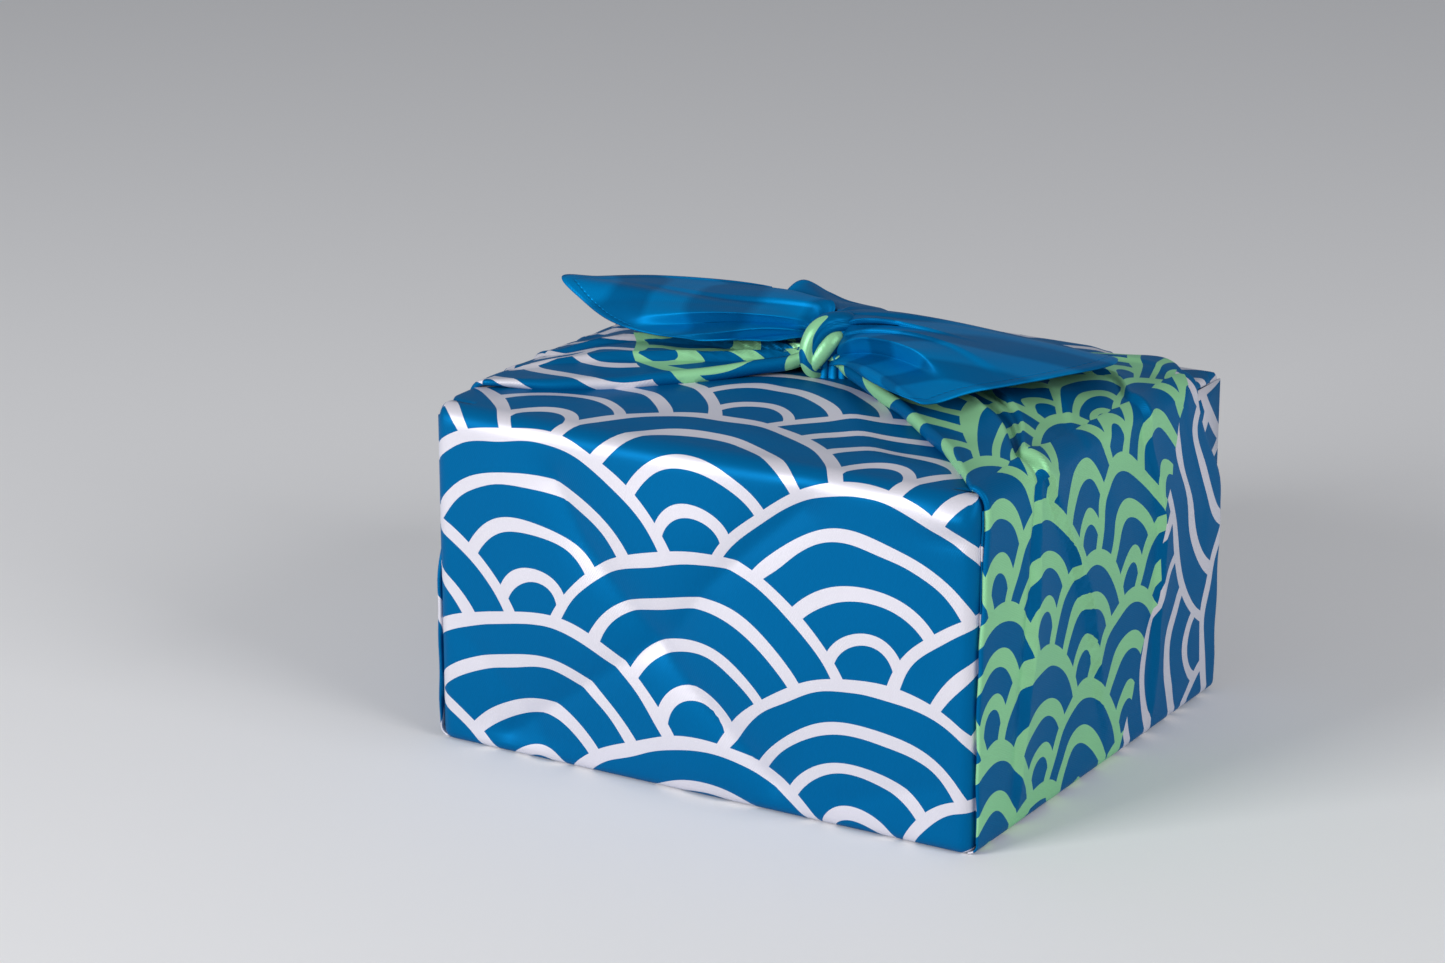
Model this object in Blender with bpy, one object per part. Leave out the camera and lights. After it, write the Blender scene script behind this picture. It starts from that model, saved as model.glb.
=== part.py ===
# A box tied up in one square cloth, in the basic carry wrap.
# The box stands squarely in the middle of the cloth. The near corner goes up the front and over the top,
# the far corner lies under it, and the left and right corners are gathered and tied in one knot on top.
# Metres, +Z up. The origin is the middle of the underside, the front faces -Y, and +X is to the right.
import bpy
import bmesh
import numpy as np

MM = 0.001

# Driving dimensions of the tied wrap, from a cloth 700 mm square.
CLOTH_SIDE = 700 * MM
WIDTH = 230 * MM
DEPTH = 203 * MM
HEIGHT = 132 * MM

# The cloth as a sheet, and the spaces between its layers and round the box.
SHEET = 1.6 * MM
FLAP_SHEET = 1.4 * MM
LAYER_GAP = 0.5 * MM
TOP_LAYER_GAP = 1.2 * MM
BOX_SEAT_GAP = 0.3 * MM
BOX_EDGE_CLEARANCE = 2.0 * MM
BOX_BEVEL = 1.5 * MM

# Rounding of the wrapped edges.
CORNER_RADIUS = 5 * MM
BOTTOM_RADIUS = 4 * MM
FRONT_TOP_RADIUS = 8 * MM
SIDE_TOP_RADIUS = 3 * MM
FLAP_TOP_RADIUS = 6 * MM

# Sizes that follow from these.
CLOTH_REACH = CLOTH_SIDE * np.sqrt(0.5)
SIDE_STEP = FLAP_SHEET + LAYER_GAP
TUB_X = WIDTH / 2 - SIDE_STEP
TUB_Y = DEPTH / 2
UNDER_DROP = SHEET + LAYER_GAP + 0.2 * MM

# How full the cloth stands over the flat faces of the box. The front is fullest a little above its middle.
FRONT_BULGE = 2.5 * MM
FRONT_FULLEST = 0.55 * HEIGHT
FRONT_SPREAD = 0.6 * HEIGHT
TOP_CROWN = 2.5 * MM
RIGHT_FLAP_PUFF = 1 * MM
LEFT_FLAP_PUFF = 5 * MM
TOP_RISE = 4 * MM
TOP_RISE_SPREAD = 62 * MM

# Soft dents of the near flap in front of the knot. Columns: x, y, half length, half width, depth, in mm.
TOP_DENTS = (
    (55, -60, 40, 24, 1.6),
    (-50, -66, 40, 22, 1.2),
)

# Lengths over which the cloth eases from one form into the next.
FOOT_EASE = 10 * MM
REAR_EASE = 20 * MM

# Where the flaps start and stop: how far a side flap is tucked under the base and in from the corners,
# and how far the far flap stays from the front edge, the back rim and the sides.
FOOT_TUCK = 14 * MM
FOOT_INSET = 2.5 * MM
UNDER_BASE = 0.15 * MM
FAR_FLAP_SHORT = 14 * MM
FAR_FLAP_START = 3 * MM
FAR_FLAP_INSET = 1.5 * MM
NECK_RISE = 5 * MM

# Number of cells along each stretch of the sheets.
FRONT_CELLS = 14
SIDE_CELLS = 6
BACK_CELLS = 8
ARC_CELLS = 3
WALL_CELLS = 6
TOP_CELLS = 9
FLAP_CELLS = 20

# The knot stands over the middle of the top. Heights are above the top.
KNOT_CENTRE = (-1 * MM, -1 * MM, 15.5 * MM)
KNOT_CORE = (14 * MM, 11 * MM, 10.5 * MM)
BAND_HALF_WIDTH = 7 * MM
BAND_HALF_THICKNESS = 2.6 * MM

# The band of the knot, a bight that comes from the right flap, goes round the left corner's cloth and
# leaves as the right tail. Columns: x, y, height above the top, in mm.
BAND_ROUTE = (
    (15, -5, 9),
    (5, -12, 8),
    (-6, -13, 12),
    (-10, -8, 19),
    (-6, -1, 25),
    (3, 3, 26),
    (12, 2, 23),
)

# Edges of the side flaps on the top, from the side edge of the box to the knot.
# Columns: x, y of the front edge, x, y of the back edge, in mm, for a flap that comes from +X.
RIGHT_FLAP_EDGES = (
    (108.5, -96, 108.5, 74),
    (83, -64, 94, 83),
    (47, -34, 64, 66),
    (12, -11, 12, 9),
    (2, -7, 2, 6),
)
LEFT_FLAP_EDGES = (
    (108.5, -74, 108.5, 80),
    (78, -60, 90, 79),
    (48, -42, 56, 54),
    (14, -15, 14, 11),
    (2, -8, 2, 6),
)

# Folds that run along the side flaps on the top. Columns: place across the flap at the side edge and at
# the knot (0 front edge, 1 back edge), half width as a share of the flap, height at the knot in mm.
RIGHT_FLAP_FOLDS = (
    (0.02, 0.12, 0.07, 5.0),
    (0.22, 0.42, 0.10, 4.0),
    (0.52, 0.66, 0.12, 4.5),
    (0.88, 0.88, 0.12, 3.5),
)
LEFT_FLAP_FOLDS = (
    (0.03, 0.14, 0.07, 5.0),
    (0.20, 0.38, 0.09, 4.5),
    (0.48, 0.62, 0.12, 4.0),
    (0.85, 0.86, 0.12, 3.5),
)

# Pleats down the faces of the side flaps. Columns: place across the flap at the top and at the foot,
# share of the wall's height where the pleat ends above the foot, height in mm.
RIGHT_PLEATS = (
    (0.18, 0.13, 0.10, 1.6),
    (0.30, 0.45, 0.45, 1.8),
    (0.72, 0.62, 0.20, 1.5),
)
LEFT_PLEATS = (
    (0.25, 0.20, 0.30, 1.5),
    (0.60, 0.66, 0.15, 1.6),
)

# The free corners. Columns: direction in the plan in degrees, reach from the knot in mm, height of the
# hem above the top in mm, and height of the cloth halfway along in mm.
RIGHT_TAIL = (
    (140, 42, 30, 26),
    (112, 40, 21, 24),
    (82, 52, 14, 22),
    (56, 72, 11, 21),
    (38, 92, 10, 20),
    (24, 103, 13, 21),
    (4, 88, 15, 21),
    (-18, 74, 14, 21),
    (-36, 68, 12, 19),
    (-44, 30, 15, 20),
)
LEFT_TAIL = (
    (216, 30, 17, 20),
    (207, 48, 15, 19),
    (195, 78, 16, 19),
    (189, 95, 22, 22),
    (185, 108, 28, 24.5),
    (179, 98, 27, 25),
    (169, 86, 27, 26),
    (160, 62, 28, 27),
    (148, 36, 27, 27),
)
RIGHT_TAIL_ROOT = (4, 0, 21)
LEFT_TAIL_ROOT = (-6, 1, 20)
TAIL_SHEET = 1.3 * MM
TAIL_ROWS = 7
TAIL_COLUMNS = 18


def smooth(x):
    """Smooth step from 0 to 1."""
    x = np.clip(x, 0.0, 1.0)
    return x * x * (3.0 - 2.0 * x)


def through(table, count):
    """Count points on a smooth curve through the rows of a table (Catmull-Rom)."""
    rows = np.asarray(table, float)
    rows = np.vstack([2 * rows[0] - rows[1], rows, 2 * rows[-1] - rows[-2]])
    place = np.linspace(0, len(rows) - 3 - 1e-9, count)
    cell = place.astype(int)
    u = (place - cell)[:, None]
    a, b, c, d = (rows[cell + k] for k in range(4))
    return 0.5 * (2 * b + (c - a) * u + (2 * a - 5 * b + 4 * c - d) * u**2 + (3 * b - a - 3 * c + d) * u**3)


def top_height(x, y):
    """Height of the near flap's upper face: a low crown, a mound under the knot and two shallow dents in front."""
    crown = TOP_CROWN * np.clip(1 - (x / TUB_X) ** 4, 0, 1) * np.clip(1 - (y / TUB_Y) ** 4, 0, 1)
    mound = TOP_RISE * np.exp(-(x**2 + y**2) / TOP_RISE_SPREAD**2)
    height = HEIGHT + crown + mound
    for dent_x, dent_y, half_length, half_width, depth in TOP_DENTS:
        away = ((x / MM - dent_x) / half_length) ** 2 + ((y / MM - dent_y) / half_width) ** 2
        height = height - depth * MM * np.exp(-away)
    return height


def front_bulge(x, z):
    """How far the front panel stands off the flat: full in the middle, nothing at the edges."""
    across = np.clip(1 - (x / TUB_X) ** 2, 0, 1)
    up = np.clip(1 - ((z - FRONT_FULLEST) / FRONT_SPREAD) ** 2, 0, 1)
    return FRONT_BULGE * across * up


def ring(inset_x, inset_y):
    """Outline of the tub in the plan, inset at the sides and at the front and back, with round corners."""
    half_x, half_y = TUB_X - inset_x, TUB_Y - inset_y
    radius = max(CORNER_RADIUS - max(inset_x, inset_y), 0.6 * MM)
    straight_x, straight_y = half_x - radius, half_y - radius
    front = [(x, -half_y) for x in np.linspace(-straight_x, straight_x, FRONT_CELLS + 1)]
    right = [(half_x, y) for y in np.linspace(-straight_y, straight_y, SIDE_CELLS + 1)]
    back = [(x, half_y) for x in np.linspace(straight_x, -straight_x, BACK_CELLS + 1)]
    left = [(-half_x, y) for y in np.linspace(straight_y, -straight_y, SIDE_CELLS + 1)]
    outline = []
    corners = ((1, -1, -90), (1, 1, 0), (-1, 1, 90), (-1, -1, 180))
    for stretch, (sx, sy, start) in zip((front, right, back, left), corners):
        outline += stretch
        for step in range(1, ARC_CELLS):
            angle = np.radians(start + 90 * step / ARC_CELLS)
            outline.append((sx * straight_x + radius * np.cos(angle), sy * straight_y + radius * np.sin(angle)))
    return np.array(outline)


FRONT_COLUMNS = np.arange(FRONT_CELLS + 1)
BACK_START = FRONT_CELLS + SIDE_CELLS + 2 * ARC_CELLS
BACK_COLUMNS = np.arange(BACK_START, BACK_START + BACK_CELLS + 1)


def tub_rows():
    """Rings of the tub from the middle of the base up to the rim, lower at the sides and back."""
    arc = np.radians(np.linspace(0, 90, ARC_CELLS + 1))
    profile = [(TUB_X, TUB_Y, 0.0), (0.5 * TUB_X, 0.5 * TUB_Y, 0.0)]
    for a in arc:
        profile.append((BOTTOM_RADIUS * (1 - np.sin(a)),) * 2 + (BOTTOM_RADIUS * (1 - np.cos(a)),))
    wall_top = HEIGHT - FRONT_TOP_RADIUS
    for z in np.linspace(BOTTOM_RADIUS, wall_top, WALL_CELLS + 1)[1:]:
        profile.append((0.0, 0.0, z))
    for a in arc[1:]:
        inset_x, inset_y = SIDE_TOP_RADIUS * (1 - np.cos(a)), FRONT_TOP_RADIUS * (1 - np.cos(a))
        profile.append((inset_x, inset_y, wall_top + FRONT_TOP_RADIUS * np.sin(a)))
    rows = []
    for inset_x, inset_y, z in profile:
        outline = ring(inset_x, inset_y) if inset_x < TUB_X else np.zeros((len(ring(0, 0)), 2))
        behind = smooth((outline[:, 1] + TUB_Y - CORNER_RADIUS) / REAR_EASE)
        lift = z - UNDER_DROP * behind * z / HEIGHT
        rows.append(np.column_stack([outline, lift]))
    rows = np.array(rows)
    front = rows[:, FRONT_COLUMNS]
    front[..., 1] -= front_bulge(front[..., 0], front[..., 2]) * smooth(front[..., 2] / FOOT_EASE)
    return rows


def near_flap_rows(rim):
    """Near flap on the top, from the front edge under the knot and over the back edge to its corner."""
    across = rim[:, 0] / np.abs(rim[0, 0])
    out = SHEET + LAYER_GAP
    radius = FRONT_TOP_RADIUS
    path = [(y, 0.0, True) for y in np.linspace(-TUB_Y + radius, TUB_Y - radius, TOP_CELLS + 1)[1:]]
    for a in np.radians(np.linspace(0, 90, ARC_CELLS + 1))[1:]:
        path.append((TUB_Y - radius + (radius + out) * np.sin(a), radius * (1 - np.cos(a)), False))
    spent = TUB_Y * 2 - 2 * radius + np.pi * radius / 2
    hang = CLOTH_REACH - TUB_Y - HEIGHT - spent
    for share in (0.3, 0.65, 0.97):
        path.append((TUB_Y + out, radius + hang * share, False))
    rows, gone, last = [], 0.0, np.array([-TUB_Y + radius, 0.0])
    for y, down, on_top in path:
        gone += np.hypot(*(np.array([y, down]) - last))
        last = np.array([y, down])
        half = min(np.abs(rim[0, 0]), max(CLOTH_REACH - TUB_Y - HEIGHT - gone, 2 * MM))
        x = across * half
        rows.append(np.column_stack([x, np.full_like(x, y), top_height(x, y) - down]))
    return np.array(rows)


def far_flap_rows(rim):
    """Far flap, flat under the near flap, from the back edge almost to the front edge."""
    across = rim[:, 0] / np.abs(rim[0, 0])
    half = TUB_X - SIDE_TOP_RADIUS - FAR_FLAP_INSET
    rows = []
    for y in np.linspace(TUB_Y - FRONT_TOP_RADIUS - FAR_FLAP_START, -TUB_Y + FAR_FLAP_SHORT, 4):
        rows.append(np.column_stack([across * half, np.full_like(across, y), np.full_like(across, rim[0, 2])]))
    return np.array(rows)


def mesh_object(name, verts, faces, merge=0.0):
    """One object from points and faces, with doubled points merged."""
    mesh = bpy.data.meshes.new(name)
    mesh.from_pydata([tuple(map(float, v)) for v in verts], [], faces)
    if merge:
        work = bmesh.new()
        work.from_mesh(mesh)
        bmesh.ops.remove_doubles(work, verts=work.verts, dist=merge)
        work.to_mesh(mesh)
        work.free()
    obj = bpy.data.objects.new(name, mesh)
    bpy.context.collection.objects.link(obj)
    return obj


def grid_faces(rows, columns, first=0, wrap=False):
    """Quads of a grid whose points are numbered row by row."""
    faces = []
    for i in range(rows - 1):
        for j in range(columns if wrap else columns - 1):
            k = (j + 1) % columns
            a, b = first + i * columns, first + (i + 1) * columns
            faces.append((a + j, a + k, b + k, b + j))
    return faces


def slab(name, outer, inner):
    """Closed solid between an outer and an inner grid of the same shape."""
    rows, columns = outer.shape[:2]
    count = rows * columns
    faces = grid_faces(rows, columns)
    faces += [tuple(count + v for v in reversed(f)) for f in faces]
    edge = [j for j in range(columns)]
    edge += [i * columns + columns - 1 for i in range(1, rows)]
    edge += [(rows - 1) * columns + j for j in range(columns - 2, -1, -1)]
    edge += [i * columns for i in range(rows - 2, 0, -1)]
    for a, b in zip(edge, edge[1:] + edge[:1]):
        faces.append((b, a, count + a, count + b))
    return mesh_object(name, np.vstack([outer.reshape(-1, 3), inner.reshape(-1, 3)]), faces)


def make_tub():
    """Base, four walls, near flap and far flap: one continuous sheet round the box."""
    tub = tub_rows()
    rows, columns = tub.shape[:2]
    faces = grid_faces(rows, columns, wrap=True)
    points = list(tub.reshape(-1, 3))
    for flap_rows, picked in ((near_flap_rows, FRONT_COLUMNS), (far_flap_rows, BACK_COLUMNS)):
        rim = tub[-1, picked]
        flap = np.vstack([rim[None], flap_rows(rim)])
        faces += grid_faces(flap.shape[0], flap.shape[1], first=len(points))
        points += list(flap.reshape(-1, 3))
    obj = mesh_object("cloth", points, faces, merge=0.001 * MM)
    wall = obj.modifiers.new("Thickness", "SOLIDIFY")
    wall.thickness = SHEET
    wall.offset = -1.0
    wall.use_even_offset = True
    wall.thickness_clamp = 1.0
    return obj


def fold_height(across, along, folds):
    """Folds that swell from the side edge of the box to the knot, as rounded ridges."""
    height = np.zeros(np.broadcast(across, along).shape)
    for start, end, half_width, peak in folds:
        centre = start + (end - start) * smooth(along)
        width = half_width * (0.7 + 0.5 * along)
        ridge = np.exp(-(((across - centre) / width) ** 2))
        height = height + peak * MM * (0.25 + 0.75 * along) * ridge
    return height


def pleat_height(across, up, pleats):
    """Pleats on a face: a quick rise on the side towards the front edge and a slow fall behind it."""
    height = np.zeros(np.broadcast(across, up).shape)
    for top, foot, end, peak in pleats:
        centre = foot + (top - foot) * up
        run = across - centre
        step = smooth(run / 0.03 + 0.5) * np.exp(-np.clip(run, 0, None) / 0.16)
        height = height + peak * MM * step * smooth((up - end) / 0.35)
    return height


def flap_points(side, edges, folds, pleats, puff, foot_edge, high_edge):
    """Outer and inner grids of a side flap: under the base, up the face, over the edge and to the knot."""
    across = np.linspace(0, 1, FLAP_CELLS + 1)[None, :]
    front_foot, back_foot = foot_edge
    front_high, back_high = high_edge
    half, bottom, radius = WIDTH / 2, BOTTOM_RADIUS, FLAP_TOP_RADIUS
    level = top_height(half, 0.0) + TOP_LAYER_GAP
    outer, inner = [], []

    def add(x_out, z_out, x_in, z_in, up):
        front = front_foot + (front_high - front_foot) * smooth((up - 0.45) / 0.55)
        back = back_foot + (back_high - back_foot) * smooth((up - 0.62) / 0.38)
        y = front + (back - front) * across[0]
        swell = pleat_height(across[0], up, pleats) * smooth(up / 0.12)
        ends = np.exp(-across[0] / 0.012) * smooth(up / 0.06)
        outer.append(np.column_stack([x_out + swell - 0.9 * MM * ends, y, np.full_like(y, z_out)]))
        inner.append(np.column_stack([np.full_like(y, x_in), y, np.full_like(y, z_in)]))

    tuck = UNDER_BASE
    add(half - FOOT_TUCK, tuck, half - FOOT_TUCK, tuck + 1.2 * MM, 0.0)
    for a in np.radians(np.linspace(0, 90, ARC_CELLS + 1)):
        turn = bottom - FLAP_SHEET
        add(half - bottom + bottom * np.sin(a), bottom + tuck - bottom * np.cos(a),
            half - bottom + turn * np.sin(a), bottom + tuck - turn * np.cos(a), 0.0)
    wall_top = level + FLAP_SHEET - radius
    for z in np.linspace(bottom + tuck, wall_top, WALL_CELLS + 2)[1:]:
        add(half, z, half - FLAP_SHEET, z, z / wall_top)
    for a in np.radians(np.linspace(0, 90, ARC_CELLS + 1))[1:-1]:
        turn = radius - FLAP_SHEET
        add(half - radius + radius * np.cos(a), wall_top + radius * np.sin(a),
            half - radius + turn * np.cos(a), wall_top + turn * np.sin(a), 1.0)
    curve = through(edges, TOP_CELLS + 1) * MM
    along = np.linspace(0, 1, TOP_CELLS + 1)[:, None]
    x = curve[:, 0:1] + (curve[:, 2:3] - curve[:, 0:1]) * across
    y = curve[:, 1:2] + (curve[:, 3:4] - curve[:, 1:2]) * across
    under = top_height(x, y) + TOP_LAYER_GAP + NECK_RISE * smooth((along - 0.55) / 0.45)
    full = puff * np.sin(np.pi * across) ** 0.7 * np.sin(np.pi * np.clip(along, 0, 1) ** 0.6) ** 2
    under = under + full
    over = under + FLAP_SHEET + fold_height(across, along, folds)
    outer += list(np.stack([x, y, over], -1))
    inner += list(np.stack([x, y, under], -1))
    outer, inner = np.array(outer), np.array(inner)
    if side < 0:
        outer, inner = outer[:, ::-1] * (-1, 1, 1), inner[:, ::-1] * (-1, 1, 1)
    return outer, inner


def make_flap(name, side, edges, folds, pleats, puff, front_high, back_high):
    """Side flap: the outer layer on its face, gathered on the top towards the knot."""
    foot = (-TUB_Y + FOOT_INSET, TUB_Y - FOOT_INSET)
    outer, inner = flap_points(side, edges, folds, pleats, puff, foot, (front_high, back_high))
    return slab(name, outer, inner)


def make_core():
    """Inside of the knot: the crossed bights that the band hides."""
    bpy.ops.mesh.primitive_uv_sphere_add(segments=14, ring_count=9, radius=1.0)
    core = bpy.context.object
    core.name = "knot_core"
    for v in core.data.vertices:
        v.co = [v.co[k] * KNOT_CORE[k] + KNOT_CENTRE[k] + (0, 0, HEIGHT)[k] for k in range(3)]
    return core


def make_band():
    """Band of the knot: a flattened tube that turns round the core on its route, closed at both ends."""
    route = through(BAND_ROUTE, 15) * MM + (0, 0, HEIGHT)
    centre = np.array(KNOT_CENTRE) + (0, 0, HEIGHT)
    tangent = np.gradient(route, axis=0)
    tangent /= np.linalg.norm(tangent, axis=1)[:, None]
    radial = route - centre
    radial -= tangent * np.sum(radial * tangent, axis=1)[:, None]
    radial /= np.linalg.norm(radial, axis=1)[:, None]
    lateral = np.cross(tangent, radial)
    turn = np.radians(np.arange(0, 360, 36))
    rings = (route[:, None] + BAND_HALF_THICKNESS * np.cos(turn)[None, :, None] * radial[:, None]
             + BAND_HALF_WIDTH * np.sin(turn)[None, :, None] * lateral[:, None])
    rows, columns = rings.shape[:2]
    faces = grid_faces(rows, columns, wrap=True)
    faces += [tuple(reversed(range(columns))), tuple((rows - 1) * columns + j for j in range(columns))]
    return mesh_object("knot_band", rings.reshape(-1, 3), faces)


def tail_points(table, root, rows, columns):
    """Free corner as a fan from the knot: straight in the plan, arched between the knot and the hem."""
    fan = through(table, columns)
    angle, reach, hem, middle = np.radians(fan[:, 0]), fan[:, 1], fan[:, 2], fan[:, 3]
    out = np.linspace(0.06, 1, rows)[:, None]
    x = root[0] + out * reach * np.cos(angle)
    y = root[1] + out * reach * np.sin(angle)
    z = (1 - out) ** 2 * root[2] + 2 * out * (1 - out) * (2 * middle - 0.5 * (root[2] + hem)) + out**2 * hem
    z = z + 1.2 * np.sin(np.linspace(0, 5.5 * np.pi, columns)) * np.sin(np.pi * out)
    return np.stack([x, y, z], -1) * MM + (0, 0, HEIGHT)


def make_tail(name, table, root):
    """Free corner of the cloth beyond the knot, as a thin sheet."""
    points = tail_points(table, root, TAIL_ROWS, TAIL_COLUMNS)
    half = (0, 0, TAIL_SHEET / 2)
    return slab(name, points + half, points - half)


def make_box():
    """Plain closed carton that the cloth is wrapped round."""
    low = np.array([-TUB_X, -TUB_Y, 0]) + (SHEET + BOX_EDGE_CLEARANCE)
    low[2] = SHEET + BOX_SEAT_GAP
    high = -low
    high[2] = HEIGHT - UNDER_DROP - SHEET - BOX_EDGE_CLEARANCE
    bpy.ops.mesh.primitive_cube_add(size=1.0)
    box = bpy.context.object
    box.name = "gift_box"
    for v in box.data.vertices:
        v.co = [low[k] + (v.co[k] + 0.5) * (high[k] - low[k]) for k in range(3)]
    edge = box.modifiers.new("Edges", "BEVEL")
    edge.width = BOX_BEVEL
    edge.segments = 2
    return box


def join(target, others):
    """Fuse the other solids into the target."""
    for other in others:
        fuse = target.modifiers.new("Fuse " + other.name, "BOOLEAN")
        fuse.operation = "UNION"
        fuse.solver = "EXACT"
        fuse.object = other
        other.hide_render = True
        other.display_type = "WIRE"


def material(obj, name, colour, roughness):
    """Principled finish of one object."""
    finish = bpy.data.materials.new(name)
    finish.use_nodes = True
    shader = finish.node_tree.nodes["Principled BSDF"]
    shader.inputs["Base Color"].default_value = (*colour, 1.0)
    shader.inputs["Roughness"].default_value = roughness
    shader.inputs["Metallic"].default_value = 0.0
    obj.data.materials.clear()
    obj.data.materials.append(finish)


for old in list(bpy.data.objects):
    bpy.data.objects.remove(old, do_unlink=True)

cloth = make_tub()
flaps = [
    make_flap("right_flap", 1, RIGHT_FLAP_EDGES, RIGHT_FLAP_FOLDS, RIGHT_PLEATS, RIGHT_FLAP_PUFF,
              -96 * MM, 74 * MM),
    make_flap("left_flap", -1, LEFT_FLAP_EDGES, LEFT_FLAP_FOLDS, LEFT_PLEATS, LEFT_FLAP_PUFF,
              -74 * MM, 80 * MM),
]
knot = [make_core(), make_band()]
tails = [
    make_tail("right_tail", RIGHT_TAIL, RIGHT_TAIL_ROOT),
    make_tail("left_tail", LEFT_TAIL, LEFT_TAIL_ROOT),
]
join(cloth, flaps + knot + tails)
material(cloth, "printed satin", (0.0, 0.16, 0.42), 0.45)
material(make_box(), "carton", (0.62, 0.52, 0.38), 0.8)
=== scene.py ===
"""A box tied up in one square printed cloth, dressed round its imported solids.
Metres, +Z up, the front faces -Y and the origin is the middle of the underside."""

import bmesh
import bpy
import numpy as np
from mathutils import Matrix, Vector


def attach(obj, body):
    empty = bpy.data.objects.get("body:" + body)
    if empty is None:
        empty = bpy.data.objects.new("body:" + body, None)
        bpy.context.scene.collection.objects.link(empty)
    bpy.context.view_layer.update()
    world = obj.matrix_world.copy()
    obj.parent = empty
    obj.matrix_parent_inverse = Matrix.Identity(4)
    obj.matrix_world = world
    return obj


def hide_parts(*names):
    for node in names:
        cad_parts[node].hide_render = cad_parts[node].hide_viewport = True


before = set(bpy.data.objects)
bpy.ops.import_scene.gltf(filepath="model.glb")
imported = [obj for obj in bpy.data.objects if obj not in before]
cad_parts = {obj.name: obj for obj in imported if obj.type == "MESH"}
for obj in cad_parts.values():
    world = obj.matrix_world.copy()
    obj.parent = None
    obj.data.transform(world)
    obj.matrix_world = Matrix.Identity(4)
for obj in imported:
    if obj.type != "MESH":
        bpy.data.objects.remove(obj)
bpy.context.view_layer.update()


# ---------------------------------------------------------------------------------------------------
# The carton. A plain folding box of grey-brown board, closed and stood squarely in the cloth. It only
# shows as a shadow between loose folds, so its solid is kept and gets the look of fibrous board.

class Thread:
    """One value running through a material's nodes. Operators add the Math node that they name."""

    def __init__(self, tree, socket=None):
        self.tree, self.socket = tree, socket

    def node(self, kind, settings=None, sockets=None, out=0):
        """Any node: its settings first, then the values or links of its sockets."""
        made = self.tree.nodes.new(kind)
        for name, value in (settings or {}).items():
            setattr(made, name, value)
        for name, value in (sockets or {}).items():
            if isinstance(value, Thread):
                self.tree.links.new(value.socket, made.inputs[name])
            else:
                made.inputs[name].default_value = value
        return Thread(self.tree, made.outputs[out])

    def maths(self, operation, *others):
        """This value, and the others after it, through one Math node."""
        return self.node("ShaderNodeMath", {"operation": operation}, dict(enumerate((self, *others))))

    def __add__(self, other):
        return self.maths("ADD", other)

    __radd__ = __add__

    def __sub__(self, other):
        return self.maths("SUBTRACT", other)

    def __rsub__(self, other):
        return self.node("ShaderNodeMath", {"operation": "SUBTRACT"}, {0: other, 1: self})

    def __mul__(self, other):
        return self.maths("MULTIPLY", other)

    __rmul__ = __mul__

    def __truediv__(self, other):
        return self.maths("DIVIDE", other)

    def __abs__(self):
        return self.maths("ABSOLUTE")

    def __gt__(self, other):
        return self.maths("GREATER_THAN", other)

    def __lt__(self, other):
        return self.maths("LESS_THAN", other)

    def length(self, other):
        """Length of the line with these two sides at a right angle."""
        return (self * self + other * other).maths("SQRT")

    def blend(self, low, high):
        """Colour between low, where this value is 0, and high, where it is 1."""
        return self.node("ShaderNodeMix", {"data_type": "RGBA"}, {0: self, 6: low, 7: high}, out=2)

    def noise(self, scale, detail=2.0):
        """Soft noise about 0.5 on these coordinates."""
        return self.node("ShaderNodeTexNoise", sockets={"Vector": self, "Scale": scale, "Detail": detail})

    def feed(self, shader, name):
        self.tree.links.new(self.socket, shader.inputs[name])


def new_finish(name, **constants):
    """A material with these constants on its shader, and the thread that its nodes start from."""
    made = bpy.data.materials.new(name)
    made.use_nodes = True
    shader = made.node_tree.nodes["Principled BSDF"]
    for socket, value in constants.items():
        shader.inputs[socket.replace("_", " ")].default_value = value
    return made, shader, Thread(made.node_tree)


board, board_shader, board_thread = new_finish("carton board")
place = board_thread.node("ShaderNodeTexCoord", out=3)
fibres = place.noise(900.0, 4.0)
cloudy = place.noise(35.0, 2.0)
speckle = (fibres * 0.5 + cloudy * 0.5).blend((0.30, 0.22, 0.14, 1), (0.44, 0.34, 0.23, 1))
speckle.feed(board_shader, "Base Color")
(0.7 + 0.2 * fibres).feed(board_shader, "Roughness")
place.node("ShaderNodeBump", sockets={"Strength": 0.3, "Distance": 0.0002, "Height": fibres}).feed(
    board_shader, "Normal")
for material_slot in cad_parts["gift_box"].material_slots:
    material_slot.material = board


# ---------------------------------------------------------------------------------------------------
# The cloth's print and weave. A 700 mm square of light polyester satin, screen printed: wave rings in
# staggered rows, white on blue in the middle and green on blue towards the two tied corners, and the
# corners themselves in soft bands of two blues, which are print and also painted satin highlight bands.
# It follows the flat cloth, whose middle is 0 and whose unit is a metre.

# From the middle of the flat cloth to each corner.
REACH = 0.700 * np.sqrt(0.5)
BLUE = (0.0, 0.126, 0.328, 1)
# The white ink is tinted lavender: painted purple bounce light on white.
WHITE = (0.78, 0.75, 0.81, 1)
GREEN = (0.340, 0.745, 0.370, 1)
# The corners' two blues: a printed stripe that also paints the satin's highlight bands.
DARK_BLUE = (0.0, 0.125, 0.330, 1)
MID_BLUE = (0.0, 0.200, 0.500, 1)
WORN = (0.0, 0.05, 0.14, 1)
WHITE_RADIUS, GREEN_RADIUS = 0.070, 0.036
CORNER_ZONE, BAND_AND_SHEEN_PITCH = 0.128, 0.046
HEM_STITCH, STITCH_PITCH, TWILL_PITCH = 0.0042, 0.0042, 0.0009


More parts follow.
